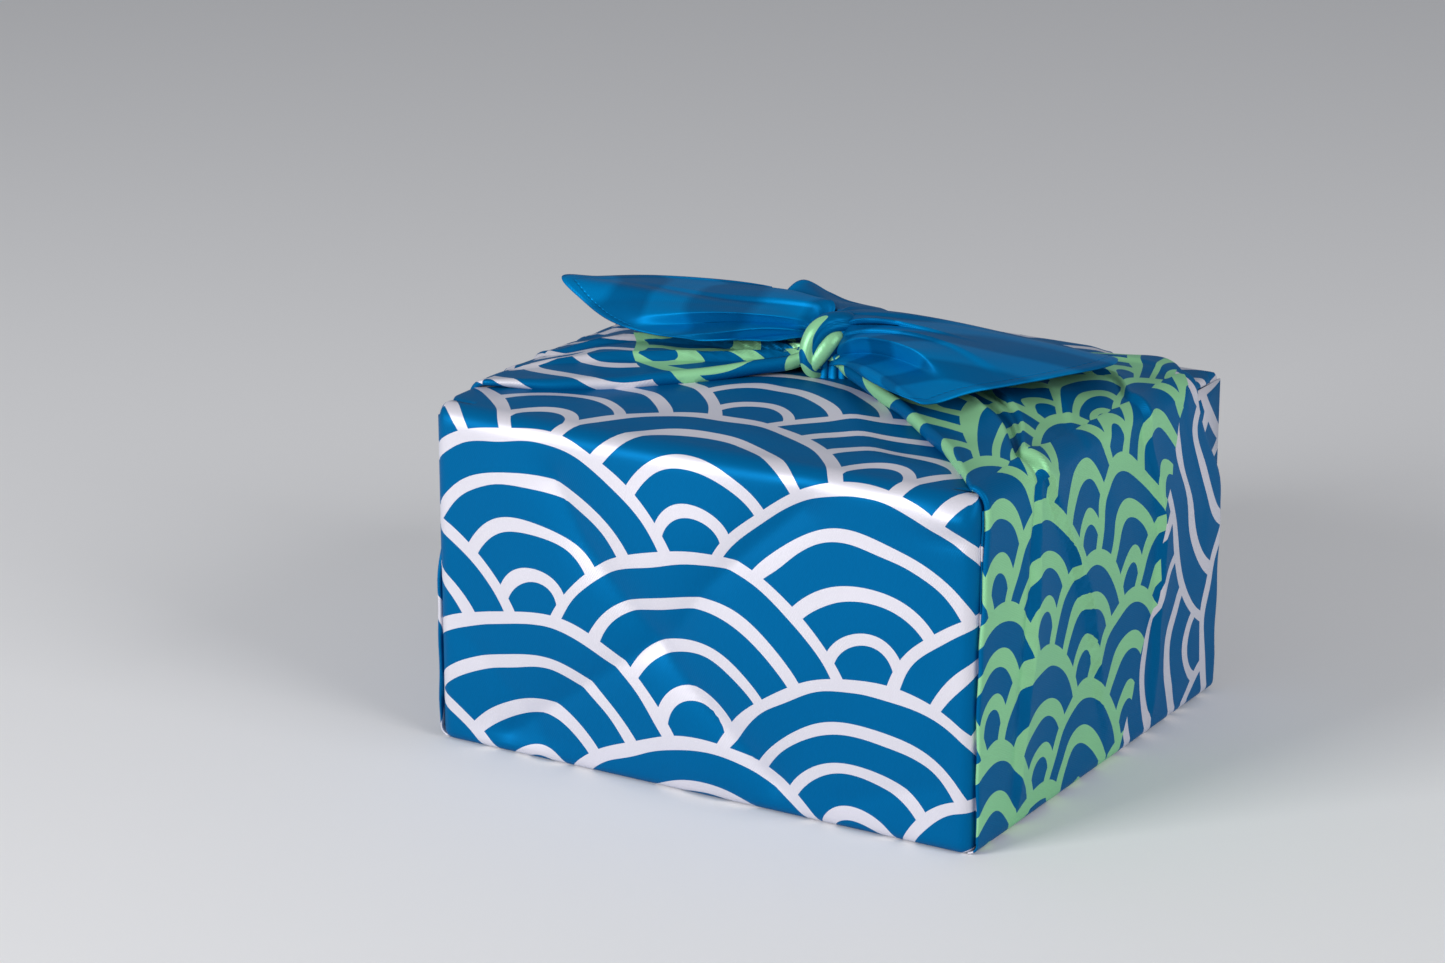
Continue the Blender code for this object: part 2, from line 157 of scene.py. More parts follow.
def wave_rings(across, up, radius, rings, line):
    """1 on a drawn ring, 0 between. Circles stand in staggered rows half a radius apart, and each row
    lies over the rows above it, so a point measures from the middle of the lowest circle that it is in."""
    half = radius / 2
    row = (up / half).maths("FLOOR")
    rise = up - row * half
    odd = row.maths("FLOORED_MODULO", 2.0)

    def aside(shift):
        """How far to the side of the nearest middle in a row that is shifted by so many radii."""
        run = across - shift * radius
        return run - 2 * radius * (run / (2 * radius)).maths("ROUND")

    same, other = aside(1 - odd), aside(odd)
    lowest, middle, highest = same.length(rise + half), other.length(rise), same.length(rise - half)
    in_lowest, in_middle = lowest < radius, middle < radius
    upper = in_middle * middle + (1 - in_middle) * highest
    away = in_lowest * lowest + (1 - in_lowest) * upper
    return (away * (rings / radius)).maths("FRACT") > (1 - line)


def printed_satin(name):
    """The cloth's finish, on the flat cloth's own coordinates. The green part ends in an arc about each
    tied corner, nearer to it on the left, and on the right also along a line on its far side."""
    satin, shader, thread = new_finish(
        name, Metallic=0.30, Specular_IOR_Level=0.12, Specular_Tint=(0.12, 0.6, 1.0, 1))
    flat = thread.node("ShaderNodeUVMap", {"uv_map": "flat cloth"})
    u = flat.node("ShaderNodeSeparateXYZ", sockets={0: flat})
    v = flat.node("ShaderNodeSeparateXYZ", sockets={0: flat}, out=1)
    side, end = abs(u), abs(v)
    # As drawn by hand: the lines wander by up to 5 mm, and swell and thin.
    hand = (flat.noise(22.0, 0.0) - 0.5) * 0.010
    brush = flat.noise(45.0, 0.0)
    swell = brush - 0.5
    white_line = wave_rings(u + hand, 0.014 - v - hand, WHITE_RADIUS, 4, 0.28 + swell * 0.16)
    green_line = wave_rings(
        v + 0.017 + hand, side / 1.5 + 0.006 - hand, GREEN_RADIUS, 3, 0.39 + swell * 0.2)
    # The green part: 384 mm about the right corner and 225 mm about the left one, up to the far line.
    right_half = u > 0.0
    from_corner = (REACH - side).length(v - 0.03 + 0.075 * right_half)
    far_line = (0.65 * side - 0.0647).maths("MINIMUM", 0.044) + 0.1 * (1 - right_half)
    far_line = far_line + 1.2 * (side - 0.205).maths("MAXIMUM", 0.0)
    green_zone = (from_corner + 3 * hand < 0.225 + 0.159 * right_half) * (v + 2 * hand < far_line)
    # The corners' soft bands: a printed stripe with blurred edges, so that it also paints the satin's
    # highlight bands.
    corner_reach = (REACH - side).length(v)
    wave = ((corner_reach + 2.5 * hand) * (2 * np.pi / BAND_AND_SHEEN_PITCH)).maths("SINE")
    stripe_and_sheen = (0.5 + 1.6 * wave).maths("MAXIMUM", 0.0).maths("MINIMUM", 1.0)
    field = white_line.blend(BLUE, WHITE)
    side_field = green_line.blend(BLUE, GREEN)
    corner_print_and_sheen = stripe_and_sheen.blend(DARK_BLUE, MID_BLUE)
    ink = (corner_reach < CORNER_ZONE).blend(green_zone.blend(field, side_field), corner_print_and_sheen)
    wear = flat.noise(9.0, 3.0)
    (0.25 * wear).blend(ink, WORN).feed(shader, "Base Color")
    (0.38 + 0.12 * brush).feed(shader, "Roughness")
    # The hem is turned twice and stitched 4 mm from the edge, and the satin has a fine twill.
    edge = (REACH - side - end) * float(np.sqrt(0.5))
    stitch_line = 1 - (abs(edge - HEM_STITCH) / 0.0007).maths("MINIMUM", 1.0)
    beat = ((u - v) * (2 * np.pi / STITCH_PITCH)).maths("SINE")
    twill = ((u + 0.5 * v) * (2 * np.pi / TWILL_PITCH)).maths("SINE")
    relief = 0.05 * twill - stitch_line * (1.4 + 0.8 * beat) + 1.6 * wear + 0.5 * brush
    bump = relief.node("ShaderNodeBump", sockets={"Strength": 0.5, "Distance": 0.0005, "Height": relief})
    bump.feed(shader, "Normal")
    return satin


cloth_finish = printed_satin("printed satin")


# ---------------------------------------------------------------------------------------------------
# The wrapped sheet. The box stands in the middle of the cloth. The near corner comes up the front and
# over the top, the far corner lies under it, and the ears at the four upright edges lie folded against
# the sides. Two crossed creases from storage still show on the front.

WIDE, DEEP, HIGH = 0.230, 0.203, 0.132
TUB_X, TUB_Y = WIDE / 2 - 0.0019, DEEP / 2
UNDER_DROP = 0.0023
CORNER, FOOT_ROUND, FRONT_ROUND, SIDE_ROUND = 0.005, 0.004, 0.008, 0.003
# The cloth runs round the edge, which takes this much more of it than the edge's height.
EDGE_SPARE = FRONT_ROUND * (0.5 * np.pi - 1)
# Half the width at which a grid stops short of a point, and the angles of a round edge.
LEAST_HALF = 0.0012
QUARTER = np.radians(np.linspace(0, 90, 8))[1:]
# Creases of the front: a line in x and z, its depth, and the width over which it falls away.
FRONT_CREASES = (
    (((-0.060, 0.112), (-0.048, 0.091), (-0.037, 0.079),
      (-0.005, 0.046), (0.012, 0.031), (0.034, 0.012)), 0.0032, 0.0085),
    (((-0.082, 0.008), (-0.043, 0.037), (-0.006, 0.064),
      (0.005, 0.081), (0.022, 0.098), (0.045, 0.118)), 0.0028, 0.0075),
    (((-0.114, 0.052), (-0.092, 0.036), (-0.066, 0.010)), 0.0007, 0.006),
    (((0.060, 0.010), (0.086, 0.020), (0.113, 0.026)), 0.0008, 0.006),
)
# Pulls on the top: a line in x and y, its height and its width.
TOP_PULLS = (
    (((-0.104, -0.094), (-0.060, -0.068), (-0.014, -0.030)), 0.0009, 0.007),
    (((0.098, -0.094), (0.060, -0.076), (0.016, -0.026)), 0.0010, 0.006),
    (((0.012, -0.098), (0.006, -0.060), (0.004, -0.024)), 0.0006, 0.009),
)


def smooth(x):
    """Smooth step from 0 to 1."""
    x = np.clip(x, 0.0, 1.0)
    return x * x * (3.0 - 2.0 * x)


def from_line(x, z, line):
    """Distance from each point to a line through the given places: the least over its straight parts."""
    best = np.full(np.broadcast(x, z).shape, np.inf)
    for (ax, az), (bx, bz) in zip(line, line[1:]):
        dx, dz = bx - ax, bz - az
        share = np.clip(((x - ax) * dx + (z - az) * dz) / (dx * dx + dz * dz), 0, 1)
        best = np.minimum(best, np.hypot(x - ax - share * dx, z - az - share * dz))
    return best


def front_stand(x, z):
    """How far the front stands off the flat: a full middle, less two sharp creases and soft dimples,
    each crease falling away from its line as exp(-distance)."""
    full = np.clip(1 - (x / TUB_X) ** 2, 0, 1) * np.clip(1 - ((z - 0.55 * HIGH) / (0.6 * HIGH)) ** 2, 0, 1)
    stand = 0.0027 * full
    for line, depth, width in FRONT_CREASES:
        stand = stand - depth * np.exp(-from_line(x, z, line) / width) * smooth((TUB_X - np.abs(x)) / 0.02)
    ripple = np.sin(x * 61 + 1.2 * np.sin(z * 40)) * np.sin(z * 47 + 0.8)
    slack = np.sin(x * 34 + z * 22 + 0.6) * smooth((TUB_X - np.abs(x)) / 0.015)
    lip = np.exp(-((z - 0.1225) / 0.004) ** 2) - 0.4 * np.exp(-((z - 0.1155) / 0.003) ** 2)
    lip = lip * np.exp(-((x - 0.105) / 0.012) ** 2)
    return stand + 0.00045 * ripple * full + 0.0006 * slack + 0.0022 * lip


def top_height(x, y):
    """Height of the near flap on the top: a low crown, a mound under the knot, dents in front of it, and
    soft pulls that run from the front corners to the knot."""
    crown = 0.0025 * np.clip(1 - (x / TUB_X) ** 4, 0, 1) * np.clip(1 - (y / TUB_Y) ** 4, 0, 1)
    mound = 0.0022 * np.exp(-(x**2 + y**2) / 0.062**2)
    dents = 0.0022 * np.exp(-(((x - 0.055) / 0.036) ** 2 + ((y + 0.060) / 0.020) ** 2))
    dents = dents + 0.0016 * np.exp(-(((x + 0.045) / 0.045) ** 2 + ((y + 0.066) / 0.018) ** 2))
    for line, rise, width in TOP_PULLS:
        crown = crown + rise * np.exp(-((from_line(x, y, line) / width) ** 2))
    return HIGH + crown + mound - dents


FRONT_COUNT, SIDE_COUNT, BACK_COUNT, ARC_COUNT = 108, 12, 46, 5


def tub_outline(inset_x, inset_y):
    """Outline of the tub in the plan, inset at the sides and at the ends, with round corners. Beside it,
    where each point lies on the flat cloth: how far across, and its end, -1 near and 1 far."""
    half_x, half_y = TUB_X - inset_x, TUB_Y - inset_y
    round_by = max(CORNER - max(inset_x, inset_y), 0.0006)
    straight_x, straight_y = half_x - round_by, half_y - round_by
    turn = np.radians(90 * np.arange(1, ARC_COUNT) / ARC_COUNT)
    front = np.linspace(-straight_x, straight_x, FRONT_COUNT + 1)
    side = np.linspace(-straight_y, straight_y, SIDE_COUNT + 1)
    back = np.linspace(straight_x, -straight_x, BACK_COUNT + 1)
    spare = TUB_X - CORNER
    across_side = spare + 0.5 * np.pi * CORNER + (straight_y - np.abs(side))
    end_side = np.where(side < 0, -1.0, 1.0)
    parts = []
    for x, y, across, end, sx, sy, start in (
        (front, np.full_like(front, -half_y), front, np.full_like(front, -1.0), 1, -1, -90),
        (np.full_like(side, half_x), side, across_side, end_side, 1, 1, 0),
        (back, np.full_like(back, half_y), back, np.full_like(back, 1.0), -1, 1, 90),
        (np.full_like(side, -half_x), -side, -across_side, -end_side, -1, -1, 180),
    ):
        parts.append(np.column_stack([x, y, across, end]))
        angle = np.radians(start) + turn
        swept = turn if start in (-90, 90) else 0.5 * np.pi - turn
        parts.append(np.column_stack([
            sx * straight_x + round_by * np.cos(angle), sy * straight_y + round_by * np.sin(angle),
            sx * (spare + CORNER * swept), np.full_like(turn, float(sy))]))
    return np.vstack(parts)


def tub_patch():
    """Base and four walls as rings about the middle of the base, from there up to the rim."""
    # Inset at the sides and at the ends, height, and cloth that has run up from the foot.
    profile = [(share * TUB_X, share * TUB_Y, 0.0, 0.0) for share in (1.0, 0.6, 0.25)]
    for a in np.radians(np.linspace(0, 90, 6)):
        z, inset = FOOT_ROUND * (1 - np.cos(a)), FOOT_ROUND * (1 - np.sin(a))
        profile.append((inset, inset, z, z))
    wall_top = HIGH - FRONT_ROUND
    profile += [(0.0, 0.0, z, z) for z in np.linspace(FOOT_ROUND, wall_top, 52)[1:]]
    for a in QUARTER:
        profile.append((SIDE_ROUND * (1 - np.cos(a)), FRONT_ROUND * (1 - np.cos(a)),
                        wall_top + FRONT_ROUND * np.sin(a), wall_top + FRONT_ROUND * a))
    points, flat = [], []
    for inset_x, inset_y, z, run in profile:
        ring = tub_outline(min(inset_x, TUB_X - LEAST_HALF), min(inset_y, TUB_Y - LEAST_HALF))
        x, y, across, end = ring.T
        behind = smooth((y + TUB_Y - CORNER) / 0.020)
        points.append(np.column_stack([x, y, z - UNDER_DROP * behind * z / HIGH]))
        if run > 0:
            flat.append(np.column_stack([across, end * (TUB_Y + run)]))
        else:
            flat.append(np.column_stack([x, y]))
    points, flat = np.array(points), np.array(flat)
    x, y, z = points[..., 0], points[..., 1], points[..., 2]
    near = smooth((-y - TUB_Y + FRONT_ROUND) / 0.006)
    points[..., 1] -= near * front_stand(x, z) * smooth(z / 0.010)
    far = smooth((y - TUB_Y + FRONT_ROUND) / 0.006)
    back_stand = 0.6 * front_stand(-x * 0.9, HIGH - z)
    points[..., 1] += far * back_stand * smooth(z / 0.010) * smooth((HIGH - z) / 0.02)
    return points, flat, True


def end_flap(end, rim_z, rows_y):
    """A flap that crosses the top from its wall's rim. It keeps its full width while the cloth has it and
    then narrows at 45 degrees to its corner, with its long sides turned down over the box's edges. Each
    row has its y, how far it lies below the top, and the cloth that has run from the rim."""
    count = FRONT_COUNT if end < 0 else BACK_COUNT
    full = TUB_X - SIDE_ROUND - 0.0006
    share = np.linspace(-1, 1, count + 1)
    turned = np.linspace(0, 1, 5)[1:]
    points, flat = [], []
    for y, down, gone in rows_y:
        v = TUB_Y + HIGH + EDGE_SPARE + gone
        half = min(TUB_X - 0.0015, max(REACH - v, LEAST_HALF))
        grown = smooth(gone / 0.006)
        half = full + (half - full) * grown if half > full else half
        turn = 0.0022 * grown * (half > full)
        x = share * half
        level = top_height(x, y) if end < 0 else rim_z + 0.0004
        level = rim_z + (level - rim_z) * smooth(gone / 0.016)
        edge = smooth(1 - (half - np.abs(x)) / 0.010) * (half <= full)
        z = level + 0 * x - down - 0.0011 * edge * (end < 0)
        angle = np.radians(100) * turned
        side_x = half + turn * np.sin(angle)
        side_z = z[-1] - turn * (1 - np.cos(angle))
        row_x = np.concatenate([-side_x[::-1], x, side_x])
        row_z = np.concatenate([side_z[::-1], z, side_z])
        across = np.concatenate([-(half + turn * angle)[::-1], x, half + turn * angle])
        points.append(np.column_stack([row_x, np.full_like(row_x, y), row_z]))
        flat.append(np.column_stack([across, np.full_like(row_x, end * v)]))
    points, flat = np.array(points), np.array(flat)
    if end > 0:
        points, flat = points[:, ::-1], flat[:, ::-1]
    return points, flat, False


def near_flap_patch(rim_z):
    """From the front rim under the knot, over the back edge, with its corner hanging on the back."""
    start, out = -TUB_Y + FRONT_ROUND, 0.0021
    path = []
    for y in np.linspace(start, TUB_Y - FRONT_ROUND, 60):
        path.append((y, 0.0, y - start))
    gone = path[-1][2]
    for a in QUARTER:
        path.append((TUB_Y - FRONT_ROUND + (FRONT_ROUND + out) * np.sin(a),
                     FRONT_ROUND * (1 - np.cos(a)), gone + FRONT_ROUND * a))
    gone = path[-1][2]
    hang = REACH - TUB_Y - HIGH - EDGE_SPARE - gone
    for share in np.linspace(0, 1, 18)[1:]:
        path.append((TUB_Y + out + 0.0012 * np.sin(3.0 * share),
                     FRONT_ROUND + hang * share, gone + hang * share))
    return end_flap(-1, rim_z, path)


def far_flap_patch(rim_z):
    """From the back rim forwards, lying under the near flap."""
    start = TUB_Y - FRONT_ROUND
    path = [(y, 0.0, start - y) for y in np.linspace(start, -TUB_Y + 0.014, 36)]
    return end_flap(1, rim_z, path)


def ear_patch(side, end):
    """Second layer of a folded ear: a triangle against the side wall, its fold rising from the foot."""
    rise = np.linspace(0.03, 0.96, 10)[:, None]
    run = np.linspace(0, 1, 6)[None, :]
    z = HIGH * rise + 0 * run
    y = end * (TUB_Y - 0.004 - 0.092 * rise * run)
    x = np.full_like(y, side * (TUB_X + 0.0006))
    u = side * (TUB_X + 0.092 * rise * run)
    v = end * (TUB_Y + z)
    points, flat = np.stack([x, y, z], -1), np.stack([u, v], -1)
    if side * end > 0:
        points, flat = points[:, ::-1], flat[:, ::-1]
    return points, flat, False


# The side flaps go up the sides over the ears, and gather on the top into the knot. Columns: x and y of
# the front edge and of the back edge on the top, in mm, from the box's edge to the knot.
RIGHT_FLAP_EDGES = (
    (108.5, -96, 108.5, 74), (83, -64, 94, 83), (47, -34, 64, 66), (12, -11, 12, 9), (2, -7, 2, 6))
LEFT_FLAP_EDGES = (
    (108.5, -74, 108.5, 80), (78, -60, 90, 79), (48, -42, 56, 54), (14, -15, 14, 11), (2, -8, 2, 6))
# Pleats. Place across the flap and height in mm, each at the foot, the middle of the side, the box's
# edge, the middle of the top and the knot; then the widths of its steep and its easy side as shares. The
# steep side faces the front, or the back where its width is negative.
RIGHT_FLAP_PLEATS = (
    ((-0.05, -0.05, -0.04, -0.03, -0.02), (0.3, 0.8, 2.6, 5.5, 5.5), 0.030, 0.045),
    ((0.10, 0.15, 0.195, 0.24, 0.30), (0.0, 0.6, 3.0, 5.0, 4.8), -0.016, 0.055),
    ((0.13, 0.17, 0.215, 0.30, 0.36), (1.6, 3.8, 2.2, 0.8, 3.0), 0.010, 0.080),
    ((0.53, 0.41, 0.225, 0.36, 0.50), (0.0, 3.4, 2.6, 3.2, 4.2), 0.010, 0.100),
    ((0.58, 0.62, 0.45, 0.50, 0.64), (0.0, 0.0, 1.0, 3.2, 4.2), 0.040, 0.100),
    ((0.70, 0.715, 0.73, 0.74, 0.78), (1.8, 3.2, 2.8, 2.4, 4.0), 0.010, 0.090),
    ((0.95, 0.93, 0.93, 0.92, 0.90), (0.2, 0.3, 0.6, 1.5, 3.5), 0.030, 0.050),
)
LEFT_FLAP_PLEATS = (
    ((-0.05, -0.05, -0.04, -0.03, -0.02), (0.2, 0.4, 2.6, 4.8, 5.0), 0.030, 0.050),
    ((0.10, 0.12, 0.13, 0.16, 0.24), (0.0, 0.8, 1.2, 4.0, 4.4), 0.014, 0.070),
    ((0.20, 0.24, 0.27, 0.32, 0.42), (0.6, 1.6, 2.0, 4.4, 4.4), 0.016, 0.080),
    ((0.30, 0.34, 0.45, 0.50, 0.56), (0.0, 0.6, 1.2, 3.2, 4.2), 0.030, 0.100),
    ((0.66, 0.62, 0.64, 0.68, 0.70), (0.6, 1.7, 1.4, 2.6, 4.0), 0.020, 0.120),
    ((0.84, 0.84, 0.84, 0.84, 0.85), (0.0, 0.4, 1.2, 2.0, 3.6), 0.030, 0.080),
)
FLAP_COLUMNS, WALL_ROWS, TOP_ROWS = 112, 34, 38
# Radius of the turned edge at these stages from the foot, 0, to the knot, 1.
ROLL_STAGES, ROLL_RADII = (0, 0.08, 0.5, 0.60, 1), (0.0004, 0.0007, 0.0012, 0.0027, 0.0030)


def through(table, count):
    """Points on a smooth curve through the rows of a table (Catmull-Rom)."""
    rows = np.asarray(table, float)
    rows = np.vstack([2 * rows[0] - rows[1], rows, 2 * rows[-1] - rows[-2]])
    place = np.linspace(0, len(rows) - 3 - 1e-9, count)
    cell = place.astype(int)
    t = (place - cell)[:, None]
    a, b, c, d = (rows[cell + k] for k in range(4))
    return 0.5 * (2 * b + (c - a) * t + (2 * a - 5 * b + 4 * c - d) * t**2 + (3 * b - a - 3 * c + d) * t**3)


def pleat_relief(across, stage, pleats):
    """Pleats over a flap. Each is a quick smooth step up over its steep side and then exp(-run) down its
    easy side, about a line whose place and height change with the stage: 0 at the foot, 1 at the knot."""
    relief = np.zeros(np.broadcast(across, stage).shape)
    stations = np.linspace(0, 1, 5)
    for places, heights, steep, easy in pleats:
        line = np.interp(stage, stations, places)
        height = np.interp(stage, stations, heights) * 0.001
        run = np.sign(steep) * (across - line)
        relief = relief + height * smooth(run / abs(steep) + 0.5) * np.exp(-np.clip(run, 0, None) / easy)
    return relief


def side_flap_patch(side, edges, pleats, feet, tops, puff):
    """A side flap as rows from the foot to the knot. A row lies along its two edges, stands off them by
    the pleats along the flap's outward direction, and rolls under by half a circle at both edges."""
    across = np.linspace(0, 1, FLAP_COLUMNS + 1)
    half, foot, rim = WIDE / 2, 0.004, 0.007
    level = HIGH + 0.0026
    rows, outward, stage, gone = [], [], [], []

    def add(x, z, nx, nz, at, length, up):
        """A row of the wall at this x and z, with its outward direction, its stage, the cloth that has
        run to it, and its share of the wall's height."""
        front = feet[0] + (tops[0] - feet[0]) * smooth((up - 0.45) / 0.55)
        back = feet[1] + (tops[1] - feet[1]) * smooth((up - 0.62) / 0.38)
        y = front + (back - front) * across
        rows.append(np.column_stack([np.full_like(y, x), y, np.full_like(y, z)]))
        outward.append((nx, 0.0, nz))
        stage.append(at)
        gone.append(length)

    for a in np.radians(np.linspace(0, 90, 6)):
        add(half - foot + foot * np.sin(a), 0.0002 + foot - foot * np.cos(a),
            np.sin(a), -np.cos(a), 0.0, foot * np.sin(a), 0.0)
    wall_top = level - rim
    for z in np.linspace(foot, wall_top, WALL_ROWS + 1)[1:]:
        add(half, z, 1.0, 0.0, 0.5 * z / level, z, z / wall_top)
    for a in np.radians(np.linspace(0, 90, 10))[1:-1]:
        add(half - rim + rim * np.cos(a), wall_top + rim * np.sin(a),
            np.cos(a), np.sin(a), 0.5, wall_top + rim * a, 1.0)
    curve = through(edges, TOP_ROWS + 1) * 0.001
    for k, (fx, fy, bx, by) in enumerate(curve):
        along = k / TOP_ROWS
        x, y = fx + (bx - fx) * across, fy + (by - fy) * across
        lift = 0.0026 + 0.005 * smooth((along - 0.55) / 0.45)
        lift = lift + puff * np.sin(np.pi * across) ** 0.7 * np.sin(np.pi * along**0.6) ** 2
        settled = smooth(along / 0.25)
        z = top_height(x, y) * settled + HIGH * (1 - settled) + lift
        rows.append(np.column_stack([x, y, z]))
        outward.append((0.0, 0.0, 1.0))
        stage.append(0.5 + 0.5 * along)
        gone.append(HIGH + 0.108 * along)
    rows, outward = np.array(rows), np.array(outward)[:, None, :]
    stage, gone = np.array(stage)[:, None], np.array(gone)[:, None]
    up_wall = smooth(stage / 0.06)
    soft = 0.0004 * np.sin(across * 31 + stage * 23) * np.sin(stage * 41 + across * 7)
    pleated = pleat_relief(across[None, :], stage, pleats)
    points = rows + outward * ((pleated + soft * up_wall) * up_wall)[..., None]
    gather = smooth((stage - 0.5) / 0.5)
    near_v, far_v = -0.099 + 0.045 * gather, 0.099 - 0.050 * gather
    # A pleat takes up as much cloth as it is high.
    v = near_v + (far_v - near_v) * across[None, :] + pleated * np.clip(stage * 2, 0, 1)
    flat = np.stack([WIDE / 2 + gone + 0 * v, v], -1)
    roll = np.interp(stage, ROLL_STAGES, ROLL_RADII)

    def rolled(edge, inner, sense):
        """The turned edge: half a circle from the edge to the underside, then 8 mm back beneath."""
        aside = points[:, edge] - points[:, inner]
        aside = aside - outward[:, 0] * np.sum(aside * outward[:, 0], axis=1)[:, None]
        aside = aside / np.linalg.norm(aside, axis=1)[:, None]
        made, cloth = [], []
        for a in np.radians((30, 60, 90, 120, 150, 180)):
            made.append(points[:, edge] + roll * (np.sin(a) * aside + (np.cos(a) - 1) * outward[:, 0]))
            cloth.append(flat[:, edge] + np.column_stack([0 * roll, sense * roll * a]))
        for back in (0.003, 0.008):
            made.append(made[5] - aside * back * np.minimum(1.0, roll / 0.0010))
            cloth.append(cloth[5] + np.column_stack([0 * roll, sense * back + 0 * roll]))
        return np.array(made).transpose(1, 0, 2), np.array(cloth).transpose(1, 0, 2)

    front_roll, front_cloth = rolled(0, 2, -1)
    back_roll, back_cloth = rolled(-1, -3, 1)
    points = np.concatenate([front_roll[:, ::-1], points, back_roll], axis=1)
    flat = np.concatenate([front_cloth[:, ::-1], flat, back_cloth], axis=1)
    if side < 0:
        points, flat = points[:, ::-1] * (-1, 1, 1), flat[:, ::-1] * (-1, 1)
    return points, flat, False


def sew(name, patches, thick, offset):
    """One object from grids of points that carry their flat places and may close into tubes, given its
    thickness. It stands for the cloth's solid and rides on the same body."""
    verts, places, faces, count = [], [], [], 0
    for points, flat, closed in patches:
        rows, columns = points.shape[:2]
        number = count + np.arange(rows * columns).reshape(rows, columns)
        if closed:
            number = np.column_stack([number, number[:, :1]])
        a, b, c, d = number[:-1, :-1], number[:-1, 1:], number[1:, 1:], number[1:, :-1]
        faces.append(np.stack([a, b, c, d], -1).reshape(-1, 4))
        verts.append(points.reshape(-1, 3))
        places.append(flat.reshape(-1, 2))
        count += rows * columns
    verts, places, faces = np.vstack(verts), np.vstack(places), np.vstack(faces)
    mesh = bpy.data.meshes.new(name)
    mesh.from_pydata(verts.tolist(), [], faces.tolist())
    layer = mesh.uv_layers.new(name="flat cloth")
    layer.data.foreach_set("uv", places[faces.ravel()].ravel().astype(np.float32))
    work = bmesh.new()
    work.from_mesh(mesh)
    bmesh.ops.remove_doubles(work, verts=work.verts, dist=0.00001)
    work.to_mesh(mesh)
    work.free()
    mesh.polygons.foreach_set("use_smooth", np.ones(len(mesh.polygons), bool))
    mesh.materials.append(cloth_finish)
    made = bpy.data.objects.new(name, mesh)
    bpy.context.collection.objects.link(made)
    if thick:
        wall = made.modifiers.new("Thickness", "SOLIDIFY")
        wall.thickness, wall.offset = thick, offset
    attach(made, "root")
    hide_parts("cloth")
    return made


tub = tub_patch()
back_column = FRONT_COUNT + SIDE_COUNT + 2 * ARC_COUNT
wrapped = sew("wrapped_cloth", [
    tub, near_flap_patch(tub[0][-1, 0, 2]), far_flap_patch(tub[0][-1, back_column, 2]),
    *(ear_patch(side, end) for side in (-1, 1) for end in (-1, 1)),
    side_flap_patch(1, RIGHT_FLAP_EDGES, RIGHT_FLAP_PLEATS, (-0.0985, 0.0985), (-0.096, 0.074), 0.001),
    side_flap_patch(-1, LEFT_FLAP_EDGES, LEFT_FLAP_PLEATS, (-0.0985, 0.0985), (-0.074, 0.080), 0.005),
], 0.0005, -1.0)


# ---------------------------------------------------------------------------------------------------
# The knot. The two gathered corners are crossed and tied once more: one bight goes round the other as a
# broad folded collar, over the crumpled cloth inside it, and the gathered neck shows under it in front.

KNOT_MIDDLE = np.array((-0.001, -0.001, HIGH + 0.0155))
KNOT_TURN = np.radians(31)


def knot_place(along, front, up):
    """Places in the knot, which is turned by its own angle in the plan: along it, towards its open side,
    and height above the top, in mm."""
    x = KNOT_MIDDLE[0] + 0.001 * (along * np.cos(KNOT_TURN) + front * np.sin(KNOT_TURN))
    y = KNOT_MIDDLE[1] + 0.001 * (along * np.sin(KNOT_TURN) - front * np.cos(KNOT_TURN))
    return np.stack([x, y, HIGH + 0.001 * up], -1)


def bundle_patch(route, widths, thicks, folds, depth, twist, u_range, v_middle, v_half):
    """Gathered cloth along a route: rings of an ellipse that faces away from the knot's middle, with
    grooves as |sin| round it that run lengthwise and twist on the way."""
    count = 44
    path, at = knot_place(*through(route, count).T), np.linspace(0, 1, count)

    def stations(values):
        """Evenly spaced values, read at each ring."""
        return np.interp(at, np.linspace(0, 1, len(values)), values)[:, None]

    size, deep = stations(widths) * 0.001, stations(thicks) * 0.001
    tangent = np.gradient(path, axis=0)
    tangent /= np.linalg.norm(tangent, axis=1)[:, None]
    radial = path - KNOT_MIDDLE
    radial -= tangent * np.sum(radial * tangent, axis=1)[:, None]
    radial /= np.linalg.norm(radial, axis=1)[:, None]
    lateral = np.cross(tangent, radial)
    turn = np.linspace(0, 2 * np.pi, 80, endpoint=False)[None, :]
    groove = 1 - depth + depth * np.abs(np.sin(0.5 * folds * (turn + twist * at[:, None]) + 0.9)) ** 0.7
    ring = (path[:, None] + (deep * np.cos(turn) * groove)[..., None] * radial[:, None]
            + (size * np.sin(turn) * groove)[..., None] * lateral[:, None])
    u = u_range[0] + (u_range[1] - u_range[0]) * at[:, None] + 0 * turn
    v = stations(v_middle) - v_half * np.cos(turn)
    flat = np.stack([u, v], -1)
    ends = path[:, None] + 0 * ring
    return np.concatenate([ends[:1], ring, ends[-1:]]), np.concatenate([flat[:1], flat, flat[-1:]]), True


def core_patch():
    """The crumpled inside of the knot: an ellipsoid with folds that swirl round its upright axis."""
    rise = np.linspace(0, np.pi, 26)[:, None]
    turn = np.linspace(0, 2 * np.pi, 64, endpoint=False)[None, :]
    swell = 0.94 + 0.12 * np.abs(np.sin(3.5 * turn + 2.2 * np.cos(rise)))
    x = -0.0105 * np.sin(rise) * np.cos(turn) * swell
    y = 0.0090 * np.sin(rise) * np.sin(turn) * swell
    z = -0.0095 * np.cos(rise) * (swell + 0 * turn)
    points = np.stack([x, y, z], -1) + KNOT_MIDDLE
    flat = np.stack([0.400 + 0.012 * np.cos(rise) + 0 * turn, 0.030 * np.sin(turn) + 0 * rise], -1)
    return points[:, ::-1], flat[:, ::-1], True


